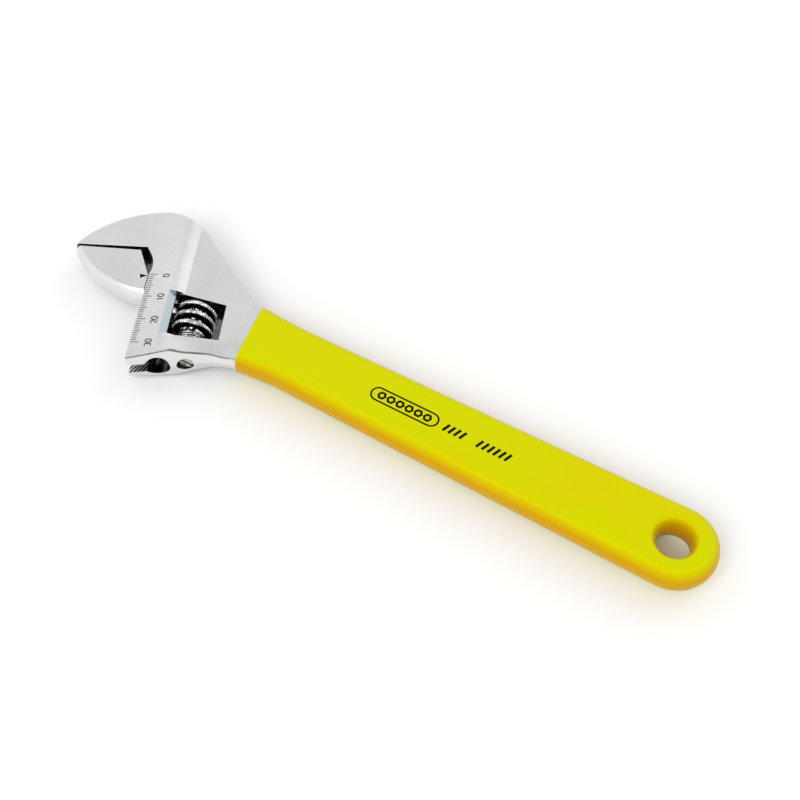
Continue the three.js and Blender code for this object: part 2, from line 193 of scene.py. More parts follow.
def bezier(start, near_start, near_end, end, count=24):
    """Cubic Bezier curve: the sum of (1-t)^3, 3t(1-t)^2, 3t^2(1-t), t^3 times its points."""
    t = np.linspace(0, 1, count)[:, None]
    a, b, c, d = (np.asarray(p, float) for p in (start, near_start, near_end, end))
    return (1 - t) ** 3 * a + 3 * t * (1 - t) ** 2 * b + 3 * t * t * (1 - t) * c + t ** 3 * d


def bend(start, corner, end, count=24):
    """Quadratic Bezier curve from start to end, drawn towards corner."""
    s, c, e = (np.asarray(p, float) for p in (start, corner, end))
    return bezier(s, s + (c - s) * 2 / 3, e + (c - e) * 2 / 3, e, count)


def arc(centre, radius, start, end, count=48):
    """Circle arc: centre + radius times (cos a, sin a), with a from start to end."""
    a = np.linspace(start, end, count)
    return np.asarray(centre) + radius * np.stack([np.cos(a), np.sin(a)], -1)


def evenly(points, step):
    """The same line with points at equal distances of about step along it."""
    points = np.asarray(points, float)
    runs = np.linalg.norm(np.diff(points, axis=0), axis=1)
    along = np.concatenate([[0], np.cumsum(runs)])
    count = max(2, round(along[-1] / step) + 1)
    at = np.linspace(0, along[-1], count)
    return np.stack([np.interp(at, along, points[:, k]) for k in (0, 1)], -1)


def chain(*lines):
    """Lines joined end to end, without their repeated points."""
    return np.concatenate([lines[0]] + [np.asarray(line, float)[1:] for line in lines[1:]])


def span(points, step=0.7, draft=0.0, bulge=0.0, fillet=0.3, crease=1.0):
    """One side of an outline, between two corners, with the shape of its edge.

    draft is the lean's slope, bulge the depth of an elliptical edge, fillet the radius
    of its rim, and crease how much of the quarter ellipse is used."""
    return SimpleNamespace(points=evenly(points, step), edge=(draft, bulge, fillet, crease))


def signed_area(points):
    """Half the sum of x(i) y(i+1) - x(i+1) y(i)."""
    after = np.roll(points, -1, axis=0)
    return 0.5 * np.sum(points[:, 0] * after[:, 1] - after[:, 0] * points[:, 1])


def within(points, ring):
    """Whether each point is inside a ring, by counting the sides that cross to its right."""
    x, y = points[:, :1], points[:, 1:]
    ax, ay = ring.T
    bx, by = np.roll(ring, -1, axis=0).T
    crosses = (ay > y) != (by > y)
    rise = np.where(by == ay, 1e-12, by - ay)
    at = ax + (y - ay) / rise * (bx - ax)
    return (np.sum(crosses & (x < at), axis=1) % 2) == 1


# Surfaces

def grid_faces(rows, cols, wrap=False):
    """Quads of a grid of points stored row by row. wrap joins the last column to the first."""
    row = np.arange(rows - 1)[:, None] * cols
    col = np.arange(cols if wrap else cols - 1)[None, :]
    after = (col + 1) % cols
    quads = np.stack([row + col, row + after, row + cols + after, row + cols + col], -1)
    return quads.reshape(-1, 4)


def closed_object(name, parts, merge=1e-4):
    """An object from (points, face arrays) parts, merged where they meet, faces outwards."""
    points, faces, start = [], [], 0
    for part_points, part_faces in parts:
        points.append(part_points)
        for block in part_faces:
            faces.extend((np.asarray(block) + start).tolist())
        start += len(part_points)
    mesh = bpy.data.meshes.new(name)
    mesh.from_pydata(np.concatenate(points).tolist(), [], faces)
    form = bmesh.new()
    form.from_mesh(mesh)
    bmesh.ops.remove_doubles(form, verts=form.verts, dist=merge)
    bmesh.ops.dissolve_degenerate(form, edges=form.edges, dist=merge / 4)
    bmesh.ops.recalc_face_normals(form, faces=form.faces)
    form.to_mesh(mesh)
    form.free()
    made = bpy.data.objects.new(name, mesh)
    bpy.context.scene.collection.objects.link(made)
    return made


def inset(edge, z, top):
    """How far an edge draws in at height z: lean + part of an ellipse + the rim's circle."""
    draft, bulge, fillet, crease = edge.T
    lean = draft * np.maximum(z - LAND, 0)
    full = 1 - np.sqrt(1 - np.minimum(crease, 1 - 1e-12) ** 2)
    swell = (1 - np.sqrt(np.maximum(1 - (crease * z / top) ** 2, 0))) / full
    rise = np.clip((z - top + fillet) / np.maximum(fillet, 1e-9), 0, 1)
    return lean + bulge * swell + fillet * (1 - np.sqrt(1 - rise ** 2))


def moved_in(points, before, after, depth_before, depth_after):
    """Each point where the lines of its two sides meet, once both have moved in."""
    cross = before[:, 0] * after[:, 1] - before[:, 1] * after[:, 0]
    flat = np.abs(cross) < NEARLY_STRAIGHT
    mean = before + after
    mean /= np.linalg.norm(mean, axis=1)[:, None]
    simple = points - mean * ((depth_before + depth_after) / 2)[:, None]
    safe = np.where(flat, 1, cross)
    x = (depth_after * before[:, 1] - depth_before * after[:, 1]) / safe
    y = (depth_before * after[:, 0] - depth_after * before[:, 0]) / safe
    return np.where(flat[:, None], simple, points + np.stack([x, y], -1))


def edge_rows(spans, height, outer, rim):
    """Rows of points up the edge of a plate, from mid-thickness to its face.

    Row k has z = (top - rim) sin a, then (top - rim) + rim sin a, and lies inset(z)
    inside the outline. Points that end up past a corner, or outside the other side of
    a corner that stands out, join the corner."""
    ring = np.concatenate([s.points[:-1] for s in spans])
    if (signed_area(ring) > 0) != outer:
        spans = [SimpleNamespace(points=s.points[::-1], edge=s.edge) for s in reversed(spans)]
        ring = np.concatenate([s.points[:-1] for s in spans])
    edges = np.concatenate([np.tile(s.edge, (len(s.points) - 1, 1)) for s in spans])
    counts = [len(s.points) - 1 for s in spans]
    corners = np.concatenate([[0], np.cumsum(counts)[:-1]])
    total = len(ring)
    way = np.roll(ring, -1, axis=0) - ring
    way /= np.linalg.norm(way, axis=1)[:, None]
    after = np.stack([way[:, 1], -way[:, 0]], -1)
    before = np.roll(after, 1, axis=0)
    edges_before = np.roll(edges, 1, axis=0)
    reach = np.arange(1, 7)

    def drawn_in(z, top):
        q = moved_in(ring, before, after, inset(edges_before, z, top), inset(edges, z, top))
        for corner in corners:
            near, back = (corner + reach) % total, (corner - reach) % total
            ahead = (q[near] - q[corner]) @ way[corner] < 0
            behind = (q[corner] - q[back]) @ way[corner - 1] < 0
            if before[corner] @ way[corner] < 0:
                ahead |= (q[near] - q[corner]) @ before[corner] > 1e-6
                behind |= (q[back] - q[corner]) @ after[corner] > 1e-6
            q[near] = np.where(ahead[:, None], q[corner], q[near])
            q[back] = np.where(behind[:, None], q[corner], q[back])
        return q

    top = height(ring)
    for _ in range(4):
        top = height(drawn_in(top, top))
    lower = (top - rim)[None, :] * np.sin(np.linspace(0, np.pi / 2, 9))[:, None]
    upper = (top - rim)[None, :] + rim * np.sin(np.linspace(0, np.pi / 2, 8)[1:])[:, None]
    levels = np.concatenate([lower, upper])
    rows = [np.column_stack([drawn_in(z, top), z]) for z in levels]
    rows[-1][:, 2] = height(rows[-1][:, :2])
    return np.stack(rows)


def face_patch(rings, height, spacing, creases):
    """A plate's face inside its rings: points of a staggered grid and of the lines
    x = crease, joined by Delaunay triangles, each at z = height(x, y)."""
    low, high = rings[0].min(0), rings[0].max(0)
    xs = np.arange(low[0], high[0], spacing)
    ys = np.arange(low[1], high[1], spacing * 0.866)
    gx, gy = np.meshgrid(xs, ys)
    gx = gx + (np.arange(len(ys)) % 2)[:, None] * spacing / 2
    inner = np.stack([gx.ravel(), gy.ravel()], -1)
    for crease in creases:
        inner = inner[np.abs(inner[:, 0] - crease) > spacing / 2]
    for crease in creases:
        along = np.arange(low[1], high[1], spacing / 2)
        inner = np.concatenate([inner, np.stack([np.full_like(along, crease), along], -1)])
    keep = within(inner, rings[0])
    for hole in rings[1:]:
        keep &= ~within(inner, hole)
    inner = inner[keep]
    rim = np.concatenate(rings)
    gap = np.sqrt(((inner[:, None, :] - rim[None, :, :]) ** 2).sum(-1).min(1))
    inner = inner[gap > 0.35 * spacing]
    sides, start = [], 0
    for ring in rings:
        index = np.arange(len(ring))
        sides.extend(np.stack([start + index, start + (index + 1) % len(ring)], -1).tolist())
        start += len(ring)
    flat = [Vector(p) for p in np.concatenate([rim, inner]).tolist()]
    points, _, faces, *_ = delaunay_2d_cdt(flat, sides, [], 1, 1e-5)
    points, faces = np.array([p[:] for p in points]), np.array(faces)
    faces = faces[within(points[faces].mean(1), rings[0])]
    for hole in rings[1:]:
        faces = faces[~within(points[faces].mean(1), hole)]
    return np.column_stack([points, height(points)]), faces


def plate(name, loops, height, spacing=1.2, creases=(), rim=0.3):
    """A closed plate, alike on both sides of z = 0, with shaped edges round each loop."""
    parts, rings = [], []
    for index, spans in enumerate(loops):
        rows = edge_rows(spans, height, index == 0, rim)
        below = rows[:0:-1] * (1, 1, -1)
        every = np.concatenate([below, rows])
        parts.append((every.reshape(-1, 3), [grid_faces(len(every), every.shape[1], wrap=True)]))
        ring = rows[-1][:, :2]
        step = np.linalg.norm(np.roll(ring, -1, axis=0) - ring, axis=1)
        rings.append(ring[step > 1e-5])
    points, faces = face_patch(rings, height, spacing, creases)
    parts.append((points, [faces]))
    parts.append((points * (1, 1, -1), [faces[:, ::-1]]))
    return closed_object(name, parts)


def prism(name, low, high):
    """A closed bar between two like polygons, given as arrays of 3-D points."""
    count = len(low)
    ends = np.arange(count)[None]
    return closed_object(name, [(np.concatenate([low, high]), [
        grid_faces(2, count, wrap=True), ends[:, ::-1], ends + count])])


def plan_prism(name, outline, low, high):
    """A bar that stands on a plan polygon, from z = low to z = high."""
    outline = np.asarray(outline, float)
    ends = [np.column_stack([outline, np.full(len(outline), z)]) for z in (low, high)]
    return prism(name, *ends)


def round_bar(name, x, radius, low, high, sides=72):
    """A round bar along y about (x, z = 0)."""
    a = np.arange(sides) * 2 * np.pi / sides
    ends = [np.stack([x + radius * np.cos(a), np.full(sides, y), radius * np.sin(a)], -1)
            for y in (low, high)]
    return prism(name, *ends)


def combine(made, others, operation):
    """Joins or cuts closed objects with exact booleans. The others are used up."""
    for other in others:
        cut = made.modifiers.new("combine", "BOOLEAN")
        cut.operation, cut.solver, cut.object = operation, "EXACT", other
        graph = bpy.context.evaluated_depsgraph_get()
        mesh = bpy.data.meshes.new_from_object(made.evaluated_get(graph))
        made.modifiers.clear()
        made.data = mesh
        bpy.data.objects.remove(other)
    if not made.data.polygons:
        raise RuntimeError(f"{made.name} came out empty")
    return made


def ribbon(path, width, height, closed=False, proud=0.02, sunk=0.06):
    """A flat strip of the given width along a path, laid on z = height(x, y)."""
    path = np.asarray(path, float)
    if closed:
        way = np.roll(path, -1, axis=0) - np.roll(path, 1, axis=0)
    else:
        way = np.gradient(path, axis=0)
    way /= np.linalg.norm(way, axis=1)[:, None]
    side = np.stack([-way[:, 1], way[:, 0]], -1) * width / 2
    left, right = path + side, path - side
    rows = [np.column_stack([p, height(p) + z]) for p, z in
            ((left, proud), (right, proud), (right, -sunk), (left, -sunk))]
    count = len(path)
    faces = [np.asarray(grid_faces(5, count, wrap=closed)) % (4 * count)]
    if not closed:
        ends = np.arange(4) * count
        faces += [ends[None, :], ends[None, ::-1] + count - 1]
    return np.concatenate(rows), faces


# Finishes

def shader(name, **values):
    """A new material with one Principled shader, and the values set on its sockets."""
    material = bpy.data.materials.new(name)
    material.use_nodes = True
    tree = material.node_tree
    tree.nodes.clear()
    out = tree.nodes.new("ShaderNodeOutputMaterial")
    surface = tree.nodes.new("ShaderNodeBsdfPrincipled")
    tree.links.new(surface.outputs["BSDF"], out.inputs["Surface"])
    for key, value in values.items():
        surface.inputs[key.replace("_", " ")].default_value = value
    return material, tree, surface


def add(tree, kind, inputs=None, **settings):
    """A node with its settings, and its inputs given as values or as sockets to link."""
    made = tree.nodes.new("ShaderNode" + kind)
    for key, value in settings.items():
        setattr(made, key, value)
    for key, value in (inputs or {}).items():
        if isinstance(value, bpy.types.NodeSocket):
            tree.links.new(value, made.inputs[key])
        else:
            made.inputs[key].default_value = value
    return made


def place_socket(tree):
    """The piece's own coordinates, in metres."""
    return add(tree, "TexCoord").outputs["Object"]


def noise(tree, scale, detail=3.0, stretch=(1, 1, 1), turn=0.0):
    """Noise on the piece's coordinates, stretched and turned about z."""
    mapping = add(tree, "Mapping", {"Vector": place_socket(tree), "Scale": stretch,
                                    "Rotation": (0, 0, turn)})
    return add(tree, "TexNoise", {"Vector": mapping.outputs["Vector"], "Scale": scale,
                                  "Detail": detail}).outputs["Fac"]


def ramp(tree, value, low, high, to_low, to_high):
    """A value carried from the range low..high to the range to_low..to_high, and held there."""
    return add(tree, "MapRange", {"Value": value, "From Min": low, "From Max": high,
                                  "To Min": to_low, "To Max": to_high}).outputs["Result"]


def blend(tree, amount, first, second, way="MIX"):
    """A colour mixed from first to second by amount."""
    return add(tree, "Mix", {0: amount, 6: first, 7: second}, data_type="RGBA",
               blend_type=way).outputs[2]


def shade(colour_value, share=1.0):
    """A colour made lighter or darker by a share, with full opacity."""
    return (*(min(1.0, c * share) for c in colour_value), 1.0)


def bump(tree, surface, value, strength, depth):
    """Raises the surface by a value, at most depth millimetres."""
    raised = add(tree, "Bump", {"Height": value, "Strength": strength, "Distance": depth * MM})
    tree.links.new(raised.outputs["Normal"], surface.inputs["Normal"])


def follow(tree, surface, pattern, tone, rough, relief, low=0.3, high=0.7):
    """Sets a shader's colour, and lets its roughness and its relief follow a pattern: rough
    is the roughness at the pattern's low and high, relief the strength and the depth."""
    tree.links.new(tone, surface.inputs["Base Color"])
    tree.links.new(ramp(tree, pattern, low, high, *rough), surface.inputs["Roughness"])
    bump(tree, surface, pattern, *relief)


def mottled(name, pattern, edges, dark, light, rough, relief, **values):
    """A finish that follows one noise, with its settings in pattern: dark below the first
    edge, light above the second."""
    material, tree, surface = shader(name, **{"Metallic": 1.0, **values})
    value = noise(tree, *pattern)
    tone = blend(tree, ramp(tree, value, *edges, 0, 1), dark, light)
    follow(tree, surface, value, tone, rough, relief)
    return material


def satin_chrome(colours):
    """Satin plate: fine brushing along the head, clouded roughness, faint tone changes."""
    material, tree, surface = shader("satin_chrome", Metallic=1.0)
    clouds = noise(tree, 45, 2)
    brush = noise(tree, 320, 4, (1, 7, 1), BRUSHING)
    tone = blend(tree, ramp(tree, clouds, 0.35, 0.65, 0, 1),
                 shade(colours.chrome, 0.95), shade(colours.chrome, 1.03))
    streak = blend(tree, ramp(tree, brush, 0.3, 0.7, 0, 1), shade((1, 1, 1), 0.93),
                   shade((1, 1, 1)))
    follow(tree, surface, brush, blend(tree, 1.0, tone, streak, "MULTIPLY"), (0.3, 0.42),
           (0.12, 0.03))
    return material


def shaded_cut_steel(colours):
    """Walls of cuts: painted shade, near black in the recesses, with mottled grey painted highlights standing in
    for tool marks that catch the light.
    """
    return mottled("shaded_cut_steel", (260, 3, (1, 1, 5)), (0.48, 0.68), shade(colours.shade_black),
                   (0.22, 0.225, 0.23, 1), (0.22, 0.4), (0.3, 0.1))


def milled_steel(colours):
    """Slot walls: slanted milling marks, painted black and bright in turn, as painted shade and painted
    reflections of the marks.
    """
    material, tree, surface = shader("milled_steel", Metallic=1.0)
    mapping = add(tree, "Mapping", {"Vector": place_socket(tree),
                                    "Rotation": (0, 0, math.radians(5))})
    marks = add(tree, "TexWave", {"Vector": mapping.outputs["Vector"], "Scale": 300.0,
                                  "Distortion": 2.0, "Detail": 2.0,
                                  "Detail Scale": 1.0}).outputs["Fac"]
    # Black stripes are painted shade, bright stripes painted reflections
    tone = blend(tree, ramp(tree, marks, 0.4, 0.6, 0, 1), shade(colours.shade_black),
                 shade(colours.chrome, 0.95))
    follow(tree, surface, marks, tone, (0.35, 0.25), (0.4, 0.1), 0, 1)
    return material


def shaded_bevel_chrome():
    """Ground bevel of the window's left wall: a cooler, darker copy of the chrome, as painted shade and a painted
    cool reflection, ground across.
    """
    return mottled("shaded_bevel_chrome", (500, 2, (1, 9, 1), BRUSHING), (0.3, 0.7),
                   (0.32, 0.37, 0.395, 1), (0.38, 0.435, 0.46, 1), (0.3, 0.4), (0.1, 0.03))


def painted_light_wall():
    """Window's right wall: painted light, a whitish cool non-metal standing in for the bright strip of light on
    the wall.
    """
    return mottled("painted_light_wall", (200, 3), (0.35, 0.65), (0.80, 0.84, 0.90, 1),
                   (0.94, 0.96, 1.0, 1), (0.3, 0.45), (0.15, 0.05), Metallic=0.0)


def shaded_rim_chrome(name, colours, share):
    """Rolled rims of the forging, painted darker as shade: they keep only a share of the faces' brightness."""
    return mottled(name, (240, 3), (0.35, 0.65), shade(colours.chrome, share * 0.8),
                   shade(colours.chrome, share * 1.2), (0.3, 0.4), (0.1, 0.03))


def ground_steel(name, colours, sparkle_share):
    """Ground jaw faces and throat: dark bare steel with fine grinding lines, its darkness partly painted shade of
    the narrow gap, and painted sparkles, bright highlight specks, over a share of it."""
    material, tree, surface = shader(name, Metallic=1.0)
    lines = noise(tree, 900, 3, (1, 1, 0.12))
    sparkles = noise(tree, 1100, 2)
    ground = blend(tree, ramp(tree, lines, 0.35, 0.65, 0, 1), (0.07, 0.07, 0.07, 1),
                   (0.26, 0.26, 0.25, 1))
    edge = 0.72 - 0.15 * sparkle_share
    # Bright specks in the chrome's colour are painted highlights
    tone = blend(tree, ramp(tree, sparkles, edge, edge + 0.03, 0, 1), ground,
                 shade(colours.chrome))
    follow(tree, surface, lines, tone, (0.28, 0.42), (0.2, 0.05))
    return material


def rack_steel(colours):
    """Slide and rack: bright turned steel, smeared darker by use."""
    return mottled("rack_steel", (300, 3, (1, 1, 3)), (0.42, 0.58), (0.16, 0.16, 0.16, 1),
                   shade(colours.chrome, 1.05), (0.2, 0.34), (0.2, 0.06))


def hub_chrome(colours):
    """Worm's hub: bright plate, mottled dark by noise."""
    return mottled("hub_chrome", (360, 4), (0.4, 0.6), shade(colours.bright, 0.2),
                   shade(colours.bright, 1.05), (0.15, 0.3), (0.2, 0.06))


def worm_chrome(colours, centre, root, crest):
    """Worm: painted shade, black between its ridges, and bright on their crests, by the distance from the worm's
    axis, with painted glints scattered in the valleys."""
    material, tree, surface = shader("worm_chrome", Metallic=1.0)
    away = add(tree, "VectorMath", {0: place_socket(tree), 1: tuple(centre)},
               operation="SUBTRACT")
    along = add(tree, "VectorMath", {0: away.outputs["Vector"], 1: tuple(OPENING)},
                operation="CROSS_PRODUCT")
    reach = add(tree, "VectorMath", {0: along.outputs["Vector"]},
                operation="LENGTH").outputs["Value"]
    speck = noise(tree, 620, 3)
    # Crests get the lighter chrome, valleys the painted shade, by distance from the axis
    height = ramp(tree, reach, root + 0.62 * (crest - root), root + 0.74 * (crest - root), 0, 1)
    core = ramp(tree, reach, root + 0.1 * MM, root + 0.3 * MM, 1, 0)
    painted_glint = add(tree, "Math", {0: core, 1: ramp(tree, speck, 0.46, 0.54, 0, 1)},
                operation="MULTIPLY").outputs[0]
    shaded_valley = blend(tree, painted_glint, shade(colours.shade_black), shade(colours.bright, 1.05))
    ridge = blend(tree, ramp(tree, speck, 0.42, 0.6, 0, 1), shade(colours.bright, 0.38),
                  shade(colours.bright, 1.05))
    follow(tree, surface, speck, blend(tree, height, shaded_valley, ridge), (0.12, 0.26),
           (0.25, 0.08))
    return material


def turned_steel():
    """Pin and spring: olive grey turned steel with fine rings and a dull film."""
    return mottled("turned_steel", (700, 4), (0.35, 0.65), (0.30, 0.30, 0.24, 1),
                   (0.72, 0.72, 0.64, 1), (0.3, 0.5), (0.2, 0.05))


def dipped_vinyl(colours):
    """Dipped vinyl: lemon on the flats, with painted shade, deeper and warmer, where the edges turn away from the
    flat sides, faint painted highlight streaks, warmer patches, slightly orange-peeled, with soft gloss changes."""
    material, tree, surface = shader("dipped_vinyl", Metallic=0.0, Specular_IOR_Level=0.18,
                                     IOR=1.47, Specular_Tint=(1.0, 0.95, 0.08, 1.0))
    split = add(tree, "SeparateXYZ", {"Vector": add(tree, "NewGeometry").outputs["Normal"]})
    flat = add(tree, "Math", {0: split.outputs["Z"]}, operation="ABSOLUTE").outputs[0]
    clouds = noise(tree, 28, 2)
    edge = add(tree, "Math", {0: flat, 1: ramp(tree, clouds, 0.3, 0.7, -0.04, 0.04)},
               operation="ADD").outputs[0]
    patches = noise(tree, 38, 3, (0.6, 1, 1))
    highlight_streaks = noise(tree, 75, 2, (0.1, 1, 1))
    warm = blend(tree, ramp(tree, patches, 0.52, 0.68, 0, 0.4), shade(colours.vinyl),
                 (0.70, 0.53, 0.0, 1))
    # Faint light streaks are painted highlights
    pale = blend(tree, ramp(tree, highlight_streaks, 0.66, 0.72, 0, 0.3), warm, (0.80, 0.80, 0.12, 1))
    # Edges turned away from the flats take the painted shade
    tone = blend(tree, ramp(tree, edge, 0.30, 0.95, 1, 0), pale, shade(colours.vinyl_edge_shade))
    tree.links.new(tone, surface.inputs["Base Color"])
    tree.links.new(ramp(tree, clouds, 0.3, 0.7, 0.3, 0.4), surface.inputs["Roughness"])
    bump(tree, surface, noise(tree, 900, 2), 0.06, 0.06)
    return material


def print_ink(name, tone, rough):
    """Printed or etched marks: dark, a little worn in patches."""
    return mottled(name, (1500, 3), (0.45, 0.75), shade(tone), shade(tone, 2.6),
                   (rough, rough + 0.15), (0.1, 0.02), Metallic=0.0, Specular_IOR_Level=0.05)


def studio_floor(tone):
    """Pale matt floor with a barely visible grain."""
    material, tree, surface = shader("studio_floor", Metallic=0.0, Specular_IOR_Level=0.1)
    grain = noise(tree, 6, 2)
    tree.links.new(blend(tree, grain, shade(tone, 0.995), shade(tone)),
                   surface.inputs["Base Color"])
    tree.links.new(ramp(tree, grain, 0.3, 0.7, 0.85, 0.95), surface.inputs["Roughness"])
    return material


def dressed(made, place, body, materials, nodes=(), sharp=28, kinds=None):
    """Puts a finished piece in place, smooths it up to an angle, and lets it ride. kinds
    gives each face's place in materials."""
    made.data.transform(place)
    made.data.materials.clear()
    for material in materials:
        made.data.materials.append(material)
    made.data.shade_smooth()
    made.data.set_sharp_from_angle(angle=math.radians(sharp))
    if kinds is not None:
        made.data.polygons.foreach_set("material_index", kinds)
    weighted = made.modifiers.new("even shading", "WEIGHTED_NORMAL")
    weighted.keep_sharp = True
    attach(made, body)
    if nodes:
        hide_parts(*nodes)
    return made


def face_facts(made):
    """Centres and normals of a mesh's faces, as arrays, in the plan's millimetres."""
    count = len(made.data.polygons)
    centres, normals = np.empty(count * 3), np.empty(count * 3)
    made.data.polygons.foreach_get("center", centres)
    made.data.polygons.foreach_get("normal", normals)
    return centres.reshape(-1, 3), normals.reshape(-1, 3)


# The head's form

def soft_bend(x, at, half_width):
    """0 before a bend, x - at past it, and (x - at + w)^2 / 4w within w of it."""
    t = np.clip(x - at + half_width, 0, 2 * half_width)
    return t * t / (4 * half_width) + np.maximum(x - at - half_width, 0)


def upper_half(x):
    """Half thickness above the window: a thickening jaw, a soft crest, a step down to a
    crisp line, and a shank that thins towards the handle."""
    x = np.clip(x, -40, NECK)
    front, head = 0.8 / -JAW_TIP, 1.7 / CREST
    step, shank = -1.5 / (CRISP - CREST), -1.2 / (NECK - CRISP)
    return (TIP_HALF + front * (x - JAW_TIP) + (head - front) * soft_bend(x, 0, 8)
            + (step - head) * soft_bend(x, CREST, 0.9)
            + (shank - step) * np.maximum(x - CRISP, 0))


def lower_half(x, mouth):
    """Half thickness at the lug's end: a rise to the ridge, then (1 - run)^1.6 down."""
    run = np.clip((x - CRISP) / (mouth - CRISP), 0, 1)
    fall = 2.2 + 5.2 * (1 - run) ** 1.6
    front = 0.8 / -JAW_TIP
    rise = TIP_HALF + front * (x - JAW_TIP) + (2.2 / CRISP - front) * soft_bend(x, 0, 8)
    return np.where(x <= CRISP, rise, fall)


def head_half(s, points, mouth):
    """The head's half thickness, from upper_half down to lower_half below the window."""
    upper = upper_half(points[:, 0])
    share = smoothstep(-points[:, 1], s.window_bottom, s.heel_drop)
    return upper + (lower_half(points[:, 0], mouth) - upper) * share


def smoothstep(value, low, high):
    """3t^2 - 2t^3, with t the value's place from low to high."""
    t = np.clip((value - low) / (high - low), 0, 1)
    return t * t * (3 - 2 * t)


def grip_line(s, inside):
    """The grip's outline in the handle's plan, from the upper mouth round to the lower
    one, moved in by inside. A flare, a straight side and a half circle make each half."""
    mouth = -grip_length(s)
    waist = mouth + FLARE
    flare = bend((mouth, s.grip_mouth - MOUTH_DROP), (mouth + 0.6 * FLARE, s.grip_waist),
                 (waist, s.grip_waist), 12)
    upper = chain(flare, [flare[-1], (0.5, s.grip_end)])
    end = arc((0.5, 0), s.grip_end, np.pi / 2, -np.pi / 2, 60)
    back = upper[::-1] * (1, -1)
    back[:, 1] -= 2 * MOUTH_DROP * smoothstep(-back[:, 0], -waist, -mouth)
    line = chain(upper, end, back)
    way = np.gradient(line, axis=0)
    way /= np.linalg.norm(way, axis=1)[:, None]
    return line + np.stack([way[:, 1], -way[:, 0]], -1) * inside


def grip_length(s):
    """Hanging hole to the grip's mouth: the handle's length less the bare shank."""
    zero = np.array((handle_place().inverted() @ head_place()).translation[:2])
    return -zero[0] - s.bare_shank


def mouth_corner(s, side, inside):
    """A corner of the grip's slanted mouth in the handle's plan, +1 upper and -1 lower."""
    half = side * (s.grip_mouth - inside)
    return np.array([-grip_length(s) - half * math.tan(MOUTH_SLANT), half - MOUTH_DROP])


def body_plate(s):
    """The forging's plate: the head's outline and the tang inside the grip."""
    inside = s.grip_wall + s.clearance
    upper, lower = (handle_to_head(mouth_corner(s, side, inside)) for side in (1, -1))
    tang = grip_line(s, inside)
    tang = handle_to_head(tang[tang[:, 0] > 4 - grip_length(s)])
    shoulder, neck, lug_end = np.array([19.1, 19.9]), np.array([NECK, 3.2]), (28, -32.2)
    edge = neck - shoulder
    tip = np.array([-s.jaw_reach, s.face_height])
    root, throat = (-3.3, s.face_height), (-1.0, s.face_height - 3.7)
    crown = np.array([1.0, s.crown_height])
    rise = s.crown_height - s.face_height
    back = chain(
        bezier(tip, (-0.84 * s.jaw_reach, s.face_height + 0.54 * rise),
               (-0.39 * s.jaw_reach, s.crown_height), crown, 60),
        bezier(crown, crown + (5.6, 0), shoulder - 0.38 * edge, shoulder, 40))
    nape = chain([shoulder, neck], bend(neck, neck + 0.6 * edge, upper))
    heel = (s.worm_at, -s.heel_drop)
    web = chain(bend(lug_end, (25.3, lug_end[1]), heel, 16), [heel, (0, -s.lug_drop)])
    tang_half = s.grip_thickness / 2 - s.grip_skin - s.clearance
    tilt = MOUTH_SLANT - head_angle()
    into_grip = np.array([math.cos(tilt), math.sin(tilt)])

    def height(points):
        half = head_half(s, points, lower[0])
        along = (points - upper) @ into_grip
        return half + (tang_half - half) * smoothstep(along, 0.2, 2.5)

    draft = math.tan(math.radians(14))
    spans = [
        span(back, draft=draft, fillet=0.2), span(nape, draft=draft, fillet=0.5),
        span([upper, tang[0]]), span(tang, 1.5, bulge=2.4, fillet=0.2),
        span([tang[-1], lower]),
        span(chain([lower, lug_end], web), draft=draft, fillet=0.6),
        span([(0, -s.lug_drop), (0, 0)], fillet=0.15),
        span(bend((0, 0), (1.5, throat[1] / 2), throat, 12), 0.5, fillet=0.12),
        span([throat, root], 0.5, fillet=0.12),
        span([root, tip], fillet=0.12)]
    hole = arc((0, 0), s.hanging_hole + inside, 0, 2 * np.pi, 60)
    return plate("wrench_body",
                 [spans, [span(handle_to_head(hole), 1.0, bulge=2.0, fillet=0.2)]],
                 height, 1.1, (9.6, CREST, 11.4, CRISP, NECK), 0.8)


def head_angle():
    """The head's turn from the handle, from the direction in which the jaw opens."""
    return math.atan2(OPENING.x, -OPENING.y)


def window_sides(s):
    """Stations of the window's left and right walls, either side of the worm."""
    return s.worm_at - s.worm_crest - 0.15, s.worm_at + s.worm_crest + 2.95


